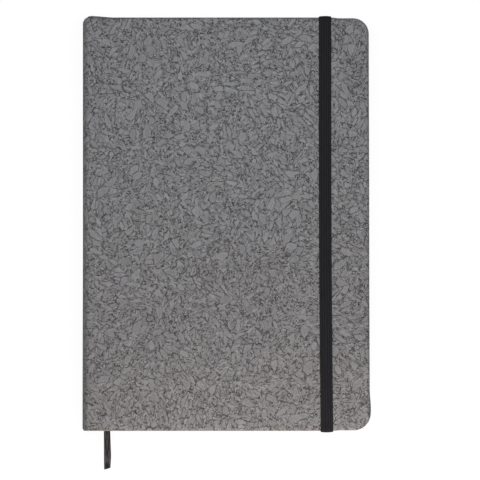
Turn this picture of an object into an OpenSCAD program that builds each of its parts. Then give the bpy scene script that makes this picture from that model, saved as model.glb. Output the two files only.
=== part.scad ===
// Hardcover notebook with round fore-edge corners, an elastic strap and a ribbon marker.
// It lies on its back cover: +Z is up, the spine is at -X, the fore-edge at +X, the head at +Y.
// The origin is the centre of the back cover's outer face. All sizes are in millimetres.

/* [Book] */
// Width of the closed book, from the spine to the fore-edge
book_w = 145.5; // [110:0.5:210]
// Height of the closed book, from the tail to the head
book_h = 210; // [150:1:297]
// Corner radius at the fore-edge
fore_corner_r = 8; // [3:0.5:12]
// Corner radius at the head of the spine
head_spine_r = 2.3; // [1.2:0.1:2.6]
// Corner radius at the tail of the spine
tail_spine_r = 1; // [0.8:0.1:2.6]

/* [Covers] */
// Thickness of the grey board in each cover
board_t = 2; // [1.5:0.1:3]
// Thickness of the covering material
covering_t = 0.5; // [0.3:0.05:0.7]
// Width of the covering that is turned in over the board's inner face
turn_in_w = 15; // [10:1:20]
// Thickness of the endpaper
endpaper_t = 0.15; // [0.1:0.05:0.25]
// Width of turn-in that the pasted-down endpaper leaves bare
paste_margin = 3; // [2:0.5:6]

/* [Headcap] */
// How far the headcap stands above the head edge
headcap_rise = 0.8; // [0.2:0.1:1.2]
// Length of the headcap along the head edge
headcap_l = 15; // [10:1:20]

/* [Page block] */
// Number of leaves
leaf_count = 96; // [64:4:160]
// Thickness of one leaf
leaf_t = 0.1; // [0.08:0.01:0.13]
// How far the covers stand out beyond the pages
square_w = 2.5; // [2.3:0.1:5]
// Corner radius of the pages at the fore-edge
page_corner_r = 7; // [2:0.5:12]
// Air between each cover and the page block
cover_play = 0.1; // [0.05:0.05:0.3]

/* [Spine] */
// Thickness of the card strip in the spine
spine_card_t = 1; // [0.6:0.1:1.6]
// Thickness of the lining that is glued over the folds of the pages
lining_t = 0.5; // [0.4:0.1:0.8]
// Air in the hollow of the spine
hollow_w = 0.2; // [0.15:0.05:1]
// Thickness of the tape that carries a head or tail band
band_tape_t = 0.3; // [0.2:0.1:0.5]
// Length of the band's tape down the spine
band_tape_l = 8; // [5:1:12]
// Radius of the band's bead
band_r = 0.9; // [0.6:0.05:1]

/* [Elastic strap] */
// Width of the woven elastic
strap_w = 6.3; // [4:0.1:10]
// Thickness of the woven elastic
strap_t = 0.5; // [0.3:0.05:0.7]
// Distance from the fore-edge to the middle of the strap
strap_from_fore = 21.85; // [16:0.05:40]
// Lean of the strap, in degrees
strap_lean = 0.36; // [0:0.02:0.4]
// Air between the strap and the front cover
strap_gap = 0.05; // [0.04:0.01:0.2]
// Radius of the strap's bends, on the inside
strap_bend_r = 0.6; // [0.6:0.1:1.5]

/* [Ribbon marker] */
// Width of the ribbon
ribbon_w = 3.3; // [2.5:0.1:4]
// Thickness of the ribbon
ribbon_t = 0.2; // [0.1:0.05:0.25]
// Distance from the spine to the middle of the ribbon, at the tail edge
ribbon_from_spine = 12.2; // [11:0.1:30]
// Lean of the ribbon, in degrees
ribbon_lean = 1.7; // [0:0.1:1.7]
// How far the ribbon reaches beyond the tail edge
ribbon_reach = 19.5; // [10:0.5:60]
// How much shorter the ribbon's end is on its right side
ribbon_cut = 1.3; // [0:0.1:3]
// Length of the ribbon that is glued to the spine of the page block
ribbon_tab_l = 12; // [6:1:25]

/* [Hidden] */
$fn = 96;

// Heights, from the table up
page_t = leaf_count * leaf_t;
turn_in_z = 2 * covering_t + board_t;
cover_t = turn_in_z + endpaper_t;
leaves_z = cover_t + cover_play;
page_z = leaves_z + endpaper_t;
book_t = 2 * page_z + page_t;
lower_hinge_z = cover_t;
middle_z = book_t / 2;

// Places across and along the book
spine_x = -book_w / 2;
fore_x = book_w / 2;
head_y = book_h / 2;
shoulder_x = spine_x + cover_t;
inner_skin_x = spine_x + covering_t;
card_back_x = inner_skin_x + spine_card_t;
spine_turn_in_x = card_back_x + covering_t;
page_spine_x = spine_turn_in_x + hollow_w + band_tape_t + lining_t;
page_fore_x = fore_x - square_w;
page_head_y = head_y - square_w;

// Clearances
seam = 0.05; // between the spine and each shoulder of the covers
sheet_clear = 0.1; // round an edge of endpaper
slot_clear = 0.3; // beside the ribbon, between two leaves
slot_play = 0.05; // above and below the ribbon
channel_clear = 0.1; // beside and behind the elastic's glued end
glue_clear = 0.02; // under glued tape
card_clear = 0.05; // between the spine card and each endpaper
past = 1; // how far a cutting shape runs past what it cuts

// Spine card
card_low_z = page_z + card_clear;
card_high_z = book_t - card_low_z;

// Elastic
strap_x = fore_x - strap_from_fore;
tab_end_clear = 2;
strap_tab_l = turn_in_w - tab_end_clear;
strap_out = strap_gap + strap_t;

// Ribbon
ribbon_x = spine_x + ribbon_from_spine;
ribbon_run = (head_y + page_head_y) / cos(ribbon_lean);
ribbon_head_x = ribbon_x - ribbon_run * sin(ribbon_lean);
ribbon_tip_z = 0.3;
ribbon_out = square_w + ribbon_reach;
ribbon_drop = middle_z - ribbon_tip_z;
droop_angle = 2 * atan(ribbon_drop / ribbon_out);
droop_r = ribbon_out / sin(droop_angle);

// Headcap, as shares of its length and rise, from the spine along the head edge
headcap_line = [[0.09, -0.6], [0.19, 0.65], [0.3, 1], [0.5, 0.78], [0.72, 0.38], [1, 0], [1, -1]];
headcap_edge = 0.35;

// Takes a round corner of radius r out of a square corner at the origin.
module corner_cut(r) {
    difference() {
        translate([-past, -past])
            square(r + past);
        translate([r, r])
            circle(r);
    }
}

// A cover seen from the front, drawn in by inset on three sides and by spine_inset at the spine.
module cover_outline(inset = 0, spine_inset = 0) {
    left = spine_x + spine_inset;
    right = fore_x - inset;
    top = head_y - inset;
    difference() {
        translate([left, -top])
            square([right - left, 2 * top]);
        translate([right, top])
            rotate(180)
                corner_cut(fore_corner_r - inset);
        translate([right, -top])
            rotate(90)
                corner_cut(fore_corner_r - inset);
        translate([left, top])
            rotate(270)
                corner_cut(head_spine_r - inset);
        translate([left, -top])
            corner_cut(tail_spine_r - inset);
    }
}

// The thicker fold of covering over the head of the spine.
module headcap_outline() {
    translate([spine_x, head_y])
        polygon([for (p = headcap_line) [p[0] * headcap_l, p[1] * headcap_rise]]);
}

// Stretches a section, drawn with x across the book and y up, along the height of the book.
module along_book(length) {
    rotate([90, 0, 0])
        linear_extrude(length, center = true)
            children();
}

// The round edge of a wrapped board at height z, along head, fore-edge, tail and both corners.
module round_edge(z) {
    straight_x = fore_x - fore_corner_r;
    straight_y = head_y - fore_corner_r;
    for (side = [0, 1])
        mirror([0, side, 0]) {
            translate([spine_x, head_y - covering_t, z])
                rotate([0, 90, 0])
                    cylinder(h = straight_x - spine_x, r = covering_t);
            translate([straight_x, straight_y, z])
                rotate_extrude(angle = 90)
                    translate([fore_corner_r - covering_t, 0])
                        circle(covering_t);
        }
    translate([fore_x - covering_t, 0, z])
        rotate([90, 0, 0])
            cylinder(h = 2 * straight_y, r = covering_t, center = true);
}

// A cover's outer form, outer face down, before the board and the recess are taken out.
module wrapped_form() {
    intersection() {
        union() {
            translate([0, 0, covering_t])
                linear_extrude(board_t)
                    cover_outline();
            linear_extrude(cover_t)
                cover_outline(covering_t, 0);
            round_edge(covering_t);
            round_edge(covering_t + board_t);
            translate([0, 0, headcap_edge])
                linear_extrude(turn_in_z - headcap_edge)
                    headcap_outline();
        }
        along_book(book_h + 4 * headcap_rise)
            shoulder_section();
    }
}

// Section through the covering at the spine: a quarter round, then the flat of the cover.
module shoulder_section() {
    difference() {
        intersection() {
            translate([shoulder_x, cover_t])
                circle(cover_t);
            translate([spine_x, 0])
                square(cover_t);
        }
        translate([inner_skin_x, turn_in_z])
            square([cover_t, cover_t]);
    }
    translate([shoulder_x, 0])
        square([fore_x - shoulder_x, turn_in_z]);
}

// Section through the board, which follows the shoulder on its spine side.
module board_section() {
    intersection() {
        union() {
            translate([shoulder_x, cover_t])
                circle(cover_t - covering_t);
            translate([shoulder_x, 0])
                square([fore_x - shoulder_x, cover_t]);
        }
        translate([spine_x, covering_t])
            square([book_w, board_t]);
    }
}

// A cover's board, outer face down.
module board_form() {
    intersection() {
        translate([0, 0, covering_t])
            linear_extrude(board_t)
                cover_outline(covering_t, covering_t);
        along_book(book_h)
            board_section();
    }
}

// The area of the board that the turn-ins leave bare. It runs on to the covering at the spine.
module bare_board(inset = 0) {
    translate([inner_skin_x + inset, -head_y + turn_in_w + inset])
        square([book_w - covering_t - turn_in_w - 2 * inset, book_h - 2 * turn_in_w - 2 * inset]);
}

// A cover's covering, outer face down: skin, edge walls, turn-ins and shoulder.
module covering_form() {
    difference() {
        wrapped_form();
        board_form();
        translate([0, 0, covering_t + board_t])
            linear_extrude(cover_t)
                bare_board();
    }
}

// A pasted-down endpaper: it lies over the turn-ins and steps down to the bare board.
module pastedown_form() {
    step_z = covering_t + board_t;
    rim_left = inner_skin_x + sheet_clear;
    rim_right = fore_x - paste_margin;
    rim_top = head_y - paste_margin;
    translate([0, 0, turn_in_z])
        linear_extrude(endpaper_t)
            difference() {
                translate([rim_left, -rim_top])
                    square([rim_right - rim_left, 2 * rim_top]);
                translate([rim_right, rim_top])
                    rotate(180)
                        corner_cut(fore_corner_r - paste_margin);
                translate([rim_right, -rim_top])
                    rotate(90)
                        corner_cut(fore_corner_r - paste_margin);
                bare_board(endpaper_t + sheet_clear);
            }
    translate([0, 0, step_z])
        linear_extrude(cover_t - step_z)
            difference() {
                bare_board(sheet_clear);
                bare_board(endpaper_t + sheet_clear);
            }
    translate([0, 0, step_z])
        linear_extrude(endpaper_t)
            bare_board(sheet_clear);
}

// Puts a cover's piece on top of the book, outer face up.
module as_front() {
    translate([0, 0, book_t])
        mirror([0, 0, 1])
            children();
}

// The outline of a leaf.
module leaf_outline() {
    difference() {
        translate([page_spine_x, -page_head_y])
            square([page_fore_x - page_spine_x, 2 * page_head_y]);
        translate([page_fore_x, page_head_y])
            rotate(180)
                corner_cut(page_corner_r);
        translate([page_fore_x, -page_head_y])
            rotate(90)
                corner_cut(page_corner_r);
    }
}

// Lays a shape along the ribbon: x is across it, y runs from the tail edge towards the head.
module along_ribbon() {
    translate([ribbon_x, -head_y, 0])
        rotate([0, 0, ribbon_lean])
            children();
}

// Carries a shape to the strap's place and lean.
module along_strap() {
    translate([strap_x, 0, 0])
        rotate([0, 0, strap_lean])
            children();
}

// The outline of a flyleaf, which runs on over the hollow of the spine to the fold of its endpaper.
module flyleaf_outline() {
    fold_x = inner_skin_x + seam;
    leaf_outline();
    translate([fold_x, -page_head_y])
        square([page_spine_x + past - fold_x, 2 * page_head_y]);
}

module text_block() {
    color("ivory")
        difference() {
            translate([0, 0, page_z])
                linear_extrude(page_t)
                    leaf_outline();
            along_ribbon()
                translate([-ribbon_w / 2 - slot_clear, -past, middle_z - ribbon_t / 2 - slot_play])
                    cube([ribbon_w + 2 * slot_clear, ribbon_run + 3 * past, ribbon_t + 2 * slot_play]);
        }
}

module front_flyleaf() {
    color("ivory")
        translate([0, 0, page_z + page_t])
            linear_extrude(endpaper_t)
                flyleaf_outline();
}

module back_flyleaf() {
    color("ivory")
        translate([0, 0, leaves_z])
            linear_extrude(endpaper_t)
                flyleaf_outline();
}

module spine_lining() {
    lining_end = 1.5;
    length = 2 * (page_head_y - lining_end);
    color("gainsboro")
        difference() {
            translate([page_spine_x - lining_t, -length / 2, page_z])
                cube([lining_t, length, page_t]);
            translate([page_spine_x - ribbon_t - glue_clear, page_head_y - ribbon_tab_l - slot_clear,
                       middle_z - ribbon_w / 2 - slot_clear])
                cube([lining_t, ribbon_tab_l + past, ribbon_w + 2 * slot_clear]);
        }
}

// A band at the head: a stitched bead on the edge of the pages, on a tape glued down the spine.
module band() {
    tape_x = page_spine_x - lining_t - band_tape_t;
    bead_y = page_head_y + ribbon_t + glue_clear + band_r;
    bead_x = page_spine_x - lining_t + band_r;
    color("dimgray")
        translate([0, 0, page_z]) {
            translate([tape_x, page_head_y - band_tape_l, 0])
                cube([band_tape_t, bead_y - page_head_y + band_tape_l, page_t]);
            translate([tape_x, bead_y - band_tape_t, 0])
                cube([bead_x - tape_x, band_tape_t, page_t]);
            translate([bead_x, bead_y, 0])
                cylinder(h = page_t, r = band_r);
        }
}

module head_band() {
    band();
}

module tail_band() {
    mirror([0, 1, 0])
        band();
}

// The card strip that keeps the spine flat.
module card_form() {
    translate([inner_skin_x, -head_y + covering_t, card_low_z])
        cube([spine_card_t, book_h - 2 * covering_t, card_high_z - card_low_z]);
}

module spine_card() {
    color("tan")
        intersection() {
            card_form();
            linear_extrude(book_t)
                cover_outline(covering_t, covering_t);
        }
}

// The skin of the spine reaches both hinge lines. What is turned in behind it is as wide as the card.
module spine_covering() {
    skin_low_z = lower_hinge_z + seam;
    fold_w = spine_turn_in_x - spine_x;
    color("dimgray")
        difference() {
            intersection() {
                translate([0, 0, skin_low_z])
                    linear_extrude(book_t - 2 * skin_low_z) {
                        cover_outline();
                        headcap_outline();
                    }
                translate([spine_x, -book_h, 0])
                    cube([fold_w, 2 * book_h, book_t]);
            }
            for (z = [0, card_high_z])
                translate([inner_skin_x, -book_h, z])
                    cube([fold_w, 2 * book_h, card_low_z]);
            spine_card();
            translate([inner_skin_x, -head_y + turn_in_w, 0])
                cube([fold_w, book_h - 2 * turn_in_w, book_t]);
        }
}

module ribbon_marker() {
    color("dimgray") {
        // between two leaves
        along_ribbon()
            translate([-ribbon_w / 2, square_w, middle_z - ribbon_t / 2])
                cube([ribbon_w, ribbon_run - square_w + ribbon_t / 2, ribbon_t]);
        // out of the tail and down to the table
        along_ribbon()
            difference() {
                translate([0, square_w, middle_z - droop_r])
                    rotate([90, 0, 90])
                        linear_extrude(ribbon_w, center = true)
                            intersection() {
                                difference() {
                                    circle(droop_r + ribbon_t / 2);
                                    circle(droop_r - ribbon_t / 2);
                                }
                                polygon([
                                    [0, 0],
                                    [0, 2 * droop_r],
                                    [-2 * droop_r * tan(droop_angle), 2 * droop_r]
                                ]);
                            }
                linear_extrude(middle_z)
                    polygon([
                        [-ribbon_w / 2, -ribbon_reach],
                        [ribbon_w / 2 + past, -ribbon_reach + ribbon_cut],
                        [ribbon_w / 2 + past, -ribbon_reach - past],
                        [-ribbon_w / 2, -ribbon_reach - past]
                    ]);
            }
        // over the head of the pages, gathered into the gap between the leaves
        translate([0, page_head_y + ribbon_t, 0])
            rotate([90, 0, 0])
                linear_extrude(ribbon_t)
                    polygon([
                        [page_spine_x - ribbon_t, middle_z - ribbon_w / 2],
                        [page_spine_x - ribbon_t, middle_z + ribbon_w / 2],
                        [ribbon_head_x + ribbon_w / 2, middle_z + ribbon_t / 2],
                        [ribbon_head_x + ribbon_w / 2, middle_z - ribbon_t / 2]
                    ]);
        // glued to the spine of the pages
        translate([page_spine_x - ribbon_t, page_head_y - ribbon_tab_l, middle_z - ribbon_w / 2])
            cube([ribbon_t, ribbon_tab_l + ribbon_t, ribbon_w]);
    }
}

module front_board() {
    color("tan")
        as_front()
            board_form();
}

module front_covering() {
    color("dimgray")
        as_front()
            covering_form();
}

module front_pastedown() {
    color("ivory")
        as_front()
            pastedown_form();
}

// The two channels in the back cover that take the strap's glued ends.
module strap_channels() {
    along_strap()
        for (side = [0, 1])
            mirror([0, side, 0])
                translate([-strap_w / 2 - channel_clear, head_y - strap_tab_l - channel_clear,
                           turn_in_z - strap_t])
                    cube([strap_w + 2 * channel_clear, strap_tab_l + past + channel_clear, cover_t]);
}

module back_board() {
    color("tan")
        difference() {
            board_form();
            strap_channels();
        }
}

module back_covering() {
    color("dimgray")
        difference() {
            covering_form();
            strap_channels();
        }
}

module back_pastedown() {
    color("ivory")
        pastedown_form();
}

// A rectangle from y = -half to half and z = low to high, with round corners.
module round_loop(half, low, high, r) {
    translate([0, low])
        difference() {
            translate([-half, 0])
                square([2 * half, high - low]);
            translate([-half, 0])
                corner_cut(r);
            translate([half, 0])
                rotate(90)
                    corner_cut(r);
            translate([half, high - low])
                rotate(180)
                    corner_cut(r);
            translate([-half, high - low])
                rotate(270)
                    corner_cut(r);
        }
}

// The woven elastic: glued under the back endpaper, up past the head and tail edges, over the front.
module elastic_strap() {
    low = turn_in_z - strap_t;
    high = book_t + strap_out;
    half = head_y + strap_out;
    color([0.16, 0.16, 0.17])
        along_strap()
            rotate([90, 0, 90])
                linear_extrude(strap_w, center = true)
                    difference() {
                        round_loop(half, low, high, strap_bend_r + strap_t);
                        round_loop(half - strap_t, low + strap_t, high - strap_t, strap_bend_r);
                        translate([-head_y + strap_tab_l, low - past])
                            square([2 * (head_y - strap_tab_l), strap_t + 2 * past]);
                    }
}

text_block();
front_flyleaf();
back_flyleaf();
spine_lining();
head_band();
tail_band();
spine_card();
spine_covering();
ribbon_marker();
front_board();
front_covering();
front_pastedown();
back_board();
back_covering();
back_pastedown();
elastic_strap();
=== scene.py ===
# %% [markdown]
# # A hardcover notebook
# This lesson dresses a notebook whose construction already exists as solids: two boards wrapped in a
# grey pressed-chip covering, a block of pages, an elastic strap and a ribbon marker.
# The solids are loaded in metres, lying on the table, with +Z up, the spine at -X and the head at +Y.
# The box of the bare solids is kept first, so that the finished looks can be measured against it.

# %% Load the construction
import math

import bmesh
import bpy
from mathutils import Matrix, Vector


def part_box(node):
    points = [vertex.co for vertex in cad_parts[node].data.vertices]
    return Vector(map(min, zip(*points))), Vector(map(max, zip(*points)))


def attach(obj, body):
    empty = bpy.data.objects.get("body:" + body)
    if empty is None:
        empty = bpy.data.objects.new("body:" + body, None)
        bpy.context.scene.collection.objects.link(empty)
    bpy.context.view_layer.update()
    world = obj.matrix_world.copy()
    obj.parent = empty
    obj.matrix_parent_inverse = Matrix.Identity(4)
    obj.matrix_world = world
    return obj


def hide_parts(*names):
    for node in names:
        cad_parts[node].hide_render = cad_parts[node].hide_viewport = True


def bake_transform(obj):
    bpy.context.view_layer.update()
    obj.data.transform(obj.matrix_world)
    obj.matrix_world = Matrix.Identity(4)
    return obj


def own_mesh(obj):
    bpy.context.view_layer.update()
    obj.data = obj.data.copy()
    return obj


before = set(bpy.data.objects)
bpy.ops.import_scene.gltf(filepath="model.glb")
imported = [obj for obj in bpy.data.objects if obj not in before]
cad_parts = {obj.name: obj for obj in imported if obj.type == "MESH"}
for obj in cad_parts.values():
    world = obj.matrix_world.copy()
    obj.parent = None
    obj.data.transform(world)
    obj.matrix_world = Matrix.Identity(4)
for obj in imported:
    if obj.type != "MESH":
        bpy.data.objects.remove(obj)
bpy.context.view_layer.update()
scene = bpy.context.scene
MM = 0.001
front_low, front_high = [Vector(corner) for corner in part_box("front_covering")]
book_top = front_high.z
print("pieces in the construction:", len(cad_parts))
print("thickness of the book, mm:", round(book_top / MM, 2))

# %% [markdown]
# ## Small tools for building materials
# A material is a graph of nodes. Writing each node, its settings and its links takes three lines or
# more, so a short helper does it in one call and gives back the node. An input that is itself a
# socket is linked, and anything else is set as a value. The maths helpers give back the result's
# socket, so that sums can be written almost as on paper.

# %% Helpers for node graphs
def add(tree, kind, settings=None, inputs=None):
    node = tree.nodes.new(kind)
    for name, value in (settings or {}).items():
        setattr(node, name, value)
    for name, value in (inputs or {}).items():
        if isinstance(value, bpy.types.NodeSocket):
            tree.links.new(value, node.inputs[name])
        else:
            node.inputs[name].default_value = value
    return node


def maths(tree, operation, a, b=0.0):
    return add(tree, "ShaderNodeMath", {"operation": operation}, {0: a, 1: b}).outputs[0]


def vector_maths(tree, operation, a, b):
    """The same for vectors. SCALE takes a plain number as its second input."""
    second = "Scale" if operation == "SCALE" else 1
    return add(tree, "ShaderNodeVectorMath", {"operation": operation}, {0: a, second: b}).outputs[0]


def as_vector(tree, x=0.0, y=0.0, z=0.0):
    return add(tree, "ShaderNodeCombineXYZ", {}, {"X": x, "Y": y, "Z": z}).outputs[0]


def fade(tree, value, low, high, to_low=0.0, to_high=1.0):
    """A soft step: to_low below low, to_high above high."""
    inputs = {"Value": value, "From Min": low, "From Max": high, "To Min": to_low, "To Max": to_high}
    node = add(tree, "ShaderNodeMapRange", {"interpolation_type": "SMOOTHSTEP"}, inputs)
    return node.outputs["Result"]


def noise(tree, vector, scale, detail=2.0, roughness=0.5):
    inputs = {"Vector": vector, "Scale": scale, "Detail": detail, "Roughness": roughness}
    return add(tree, "ShaderNodeTexNoise", {}, inputs)


def mix_colour(tree, factor, a, b, blend="MIX"):
    node = add(tree, "ShaderNodeMix", {"data_type": "RGBA", "blend_type": blend})
    for socket, value in ((node.inputs[0], factor), (node.inputs[6], a), (node.inputs[7], b)):
        if isinstance(value, bpy.types.NodeSocket):
            tree.links.new(value, socket)
        else:
            socket.default_value = value
    return node.outputs[2]


print("helpers for nodes:", ", ".join(helper.__name__ for helper in (add, maths, vector_maths, fade, noise)))

# %% Helpers for groups and materials
def new_group(name, inputs, outputs):
    """An empty shader group with named sockets. Each socket is (name, type) or (name, type, value)."""
    tree = bpy.data.node_groups.new(name, "ShaderNodeTree")
    for direction, sockets in (("INPUT", inputs), ("OUTPUT", outputs)):
        for label, kind, *value in sockets:
            made = tree.interface.new_socket(label, in_out=direction, socket_type="NodeSocket" + kind)
            if value:
                made.default_value = value[0]
    start = tree.nodes.new("NodeGroupInput")
    end = tree.nodes.new("NodeGroupOutput")
    return tree, start, end


def place_group(tree, group, inputs):
    return add(tree, "ShaderNodeGroup", {"node_tree": group}, inputs)


def new_material(name, roughness, **shader):
    """A material with an empty Principled shader and a vector in millimetres from Object coordinates."""
    material = bpy.data.materials.new(name)
    material.use_nodes = True
    tree = material.node_tree
    principled = tree.nodes["Principled BSDF"]
    principled.inputs["Roughness"].default_value = roughness
    for socket, value in shader.items():
        principled.inputs[socket.replace("_", " ")].default_value = value
    place = add(tree, "ShaderNodeTexCoord").outputs["Object"]
    return material, tree, principled, vector_maths(tree, "SCALE", place, 1 / MM)


def colour_and_relief(tree, shader, colour, height, strength, depth):
    """Gives the shader its colour, and its relief as a bump of this depth in millimetres."""
    tree.links.new(colour, shader.inputs["Base Color"])
    bump = add(tree, "ShaderNodeBump", {}, {"Height": height, "Strength": strength, "Distance": depth * MM})
    tree.links.new(bump.outputs["Normal"], shader.inputs["Normal"])


print("helpers for finishes:", ", ".join(helper.__name__ for helper in (new_group, new_material)))

# %% [markdown]
# ## The covering's pattern: one layer of cracks
# The covering is a pressed sheet of flat chips, like bonded cork printed in grey. Close up it shows
# smooth chips of 2 to 5 mm, and between them crowds of short dark cracks. A photograph of cork could be
# wrapped round the book, but a rule gives the same look at any size and needs no picture.
# The rule is a Voronoi diagram: each cell is a chip, and the distance to the cell's edge draws the crack
# and the lip beside it, where the chip's rim stands up; the lip is lightened as a painted highlight.
# One group makes one layer. It turns and stretches the cells, so that chips can lie as long flakes.

# %% The crack layer
# Where the lip beside a crack is highest and where it ends, in widths of the crack
LIP_TOP, LIP_END = 1.7, 3.2


def make_crack_layer():
    tree, start, end = new_group(
        "crack layer",
        [("Vector", "Vector"), ("Turn", "Float", 0.0), ("Stretch", "Float", 1.0),
         ("Size", "Float", 3.0), ("Width", "Float", 0.3)],
        [("Crack", "Float"), ("Lip", "Float"), ("Chip", "Color")])
    given = start.outputs
    size, width = given["Size"], given["Width"]
    turned = add(tree, "ShaderNodeVectorRotate", {"rotation_type": "Z_AXIS"},
                 {"Vector": given["Vector"], "Angle": given["Turn"]}).outputs[0]
    lengthwise, crosswise = maths(tree, "DIVIDE", given["Stretch"], size), maths(tree, "DIVIDE", 1.0, size)
    cells = vector_maths(tree, "MULTIPLY", turned, as_vector(tree, lengthwise, crosswise, crosswise))
    edge = add(tree, "ShaderNodeTexVoronoi", {"feature": "DISTANCE_TO_EDGE"}, {"Vector": cells, "Scale": 1.0})
    chip = add(tree, "ShaderNodeTexVoronoi", {"feature": "F1"}, {"Vector": cells, "Scale": 1.0})
    distance = maths(tree, "MULTIPLY", edge.outputs["Distance"], size)
    lip_top, lip_end = [maths(tree, "MULTIPLY", width, share) for share in (LIP_TOP, LIP_END)]
    rise, fall = fade(tree, distance, width, lip_top), fade(tree, distance, lip_top, lip_end, 1.0, 0.0)
    tree.links.new(fade(tree, distance, 0.0, width, 1.0, 0.0), end.inputs["Crack"])
    tree.links.new(maths(tree, "MULTIPLY", rise, fall), end.inputs["Lip"])
    tree.links.new(chip.outputs["Color"], end.inputs["Chip"])
    return tree


crack_layer = make_crack_layer()
print("crack layer:", len(crack_layer.nodes), "nodes")

# %% [markdown]
# ## The covering's pattern: pressed chips
# One layer of cells looks like tiles. The real sheet is a jumble of shavings that lie over each other,
# so four layers are stacked: crumbs at the bottom, then narrow flakes, wider flakes and a few whole
# chips. In each upper layer only some cells are present, and they hide what lies under them, which
# gives the half-hidden outlines. Patches of about a centimetre turn their flakes each its own way. The
# points are pushed about by noise first, which makes the outlines ragged, and every outline is strong
# in one place and faint in the next, because the sheet is pressed almost shut.

# %% Layers of chips
# Each layer: size and width of the outline as shares of the inputs, stretch, tone of its darkest and
# lightest cells, and how many of its cells are present
CHIP_LAYERS = [
    {"size": 0.24, "line": 1.0, "stretch": 0.45, "tones": (0.10, 0.75), "present": 1.0},
    {"size": 0.40, "line": 1.5, "stretch": 0.38, "tones": (0.10, 0.65), "present": 0.55},
    {"size": 0.60, "line": 1.9, "stretch": 0.40, "tones": (0.10, 0.45), "present": 0.33},
    {"size": 0.85, "line": 2.0, "stretch": 0.55, "tones": (0.10, 0.40), "present": 0.11},
]
# How well a cell hides what lies under it, and the patches that share one direction
COVERS, BLUR = 0.85, 0.02
PATCH = {"size_share": 2.3, "turn": 0.4, "stretch": 0.7, "line": 1.0}
# Where the outlines are strong: scale and place of the noise, where it rises, and the least strength
FINE_LINES = {"scale": 0.8, "shift": 23.0, "low": 0.43, "high": 0.56, "least": 0.25}
BOLD_LINES = {"scale": 0.5, "shift": 3.0, "low": 0.40, "high": 0.54, "least": 0.4}
print("layers of chips:", len(CHIP_LAYERS))

# %% The chip pattern
# The lip's tone lightens the lip beside each crack: a painted highlight where the raised rim catches the
# light
GRAIN_SCALE, GRAIN_TONE, LIP_HIGHLIGHT_TONE, TONE_HEIGHT = 1.9, 0.15, 0.4, 0.8


def make_chip_pattern():
    tree, start, end = new_group(
        "pressed chips",
        [("Vector", "Vector"), ("Chip size", "Float", 4.2), ("Crack width", "Float", 0.16),
         ("Raggedness", "Float", 1.7)],
        [("Crack", "Float"), ("Tone", "Float"), ("Tint", "Color"), ("Height", "Float")])
    given = start.outputs
    push = noise(tree, given["Vector"], 0.7, 2.0, 0.65).outputs["Color"]
    centred = vector_maths(tree, "SUBTRACT", push, (0.5, 0.5, 0.5))
    pushed = vector_maths(tree, "SCALE", centred, given["Raggedness"])
    ragged = vector_maths(tree, "ADD", given["Vector"], pushed)

    def cells(size_share, turn, stretch, line):
        return place_group(tree, crack_layer, {
            "Vector": ragged, "Turn": turn, "Stretch": stretch,
            "Width": maths(tree, "MULTIPLY", given["Crack width"], line),
            "Size": maths(tree, "MULTIPLY", given["Chip size"], size_share)}).outputs

    def parts(colour):
        return add(tree, "ShaderNodeSeparateColor", {}, {"Color": colour}).outputs

    def strength(scale, shift, low, high, least):
        moved = vector_maths(tree, "ADD", given["Vector"], (shift, 1.7 * shift, 0.4 * shift))
        return fade(tree, noise(tree, moved, scale, 1.0).outputs["Fac"], low, high, least, 1.0)

    patch = parts(cells(**PATCH)["Chip"])
    turns = [maths(tree, "MULTIPLY", patch[name], 2 * math.pi) for name in ("Red", "Green", "Blue", "Green")]
    fine_line, bold_line = strength(**FINE_LINES), strength(**BOLD_LINES)
    below, tint = None, None
    for number, layer in enumerate(CHIP_LAYERS):
        found = cells(layer["size"], turns[number], layer["stretch"], layer["line"])
        chip = parts(found["Chip"])
        line = fine_line if number < 2 else bold_line
        own = [maths(tree, "MULTIPLY", found["Crack"], line),
               fade(tree, chip["Green"], 0.0, 1.0, *layer["tones"]),
               maths(tree, "MULTIPLY", found["Lip"], line)]
        if below:
            here = fade(tree, chip["Red"], layer["present"] - BLUR, layer["present"], COVERS, 0.0)
            own = [maths(tree, "MULTIPLY_ADD", maths(tree, "SUBTRACT", new, old), here)
                   for new, old in zip(own, below)]
            for socket, old in zip(own, below):
                tree.links.new(old, socket.node.inputs[2])
        else:
            tint = found["Chip"]
        below = own
    crack, tone, lips = below
    grain = noise(tree, given["Vector"], GRAIN_SCALE, 1.0).outputs["Fac"]
    tone = maths(tree, "ADD", tone, fade(tree, grain, 0.3, 0.7, -GRAIN_TONE, GRAIN_TONE))
    # painted highlight: the lips beside the cracks are made lighter
    tone = maths(tree, "ADD", tone, maths(tree, "MULTIPLY", lips, LIP_HIGHLIGHT_TONE))
    height = maths(tree, "SUBTRACT", maths(tree, "MULTIPLY", tone, TONE_HEIGHT), crack)
    for name, socket in (("Crack", crack), ("Tone", tone), ("Tint", tint), ("Height", height)):
        tree.links.new(socket, end.inputs[name])
    return tree


chip_pattern = make_chip_pattern()
print("pressed chips:", len(chip_pattern.nodes), "nodes")

# %% [markdown]
# ## The covering's material
# The pattern gives masks, and the material turns them into a finish. Grey is mixed from a lighter and
# a darker tone by chip, the cracks are darker still, and some chips are a little warm or cool. The
# cracks are also pressed in, which a Bump node shows as small lights and shadows.
# The shoulder and the rims at the head and the fore-edge roll away from the light, and that shade is
# painted into the colour: they are darker, and also a little smoother. The form of the covering, made
# further on, keeps for each of its points how much painted shade it gets, and noise makes it ragged.

# %% The covering's material
CHIP_LIGHT = (0.306, 0.306, 0.307, 1.0)
CHIP_DARK = (0.186, 0.186, 0.187, 1.0)
CRACK_DARK = (0.015, 0.015, 0.015, 1.0)
# The next colour is multiplied in as painted shade on the shoulder and on the head and fore-edge rims
PAINTED_SHADE_TINT = (0.72, 0.71, 0.70, 1.0)
CHIP_ROUGHNESS, RUBBED_ROUGHNESS = 0.62, 0.5
TINT_SHARE, SHADE_RAG_SCALE, LEAST_SHADE = 0.03, 0.5, 0.55
CHIP_RELIEF = {"strength": 0.8, "depth": 0.25}


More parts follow.
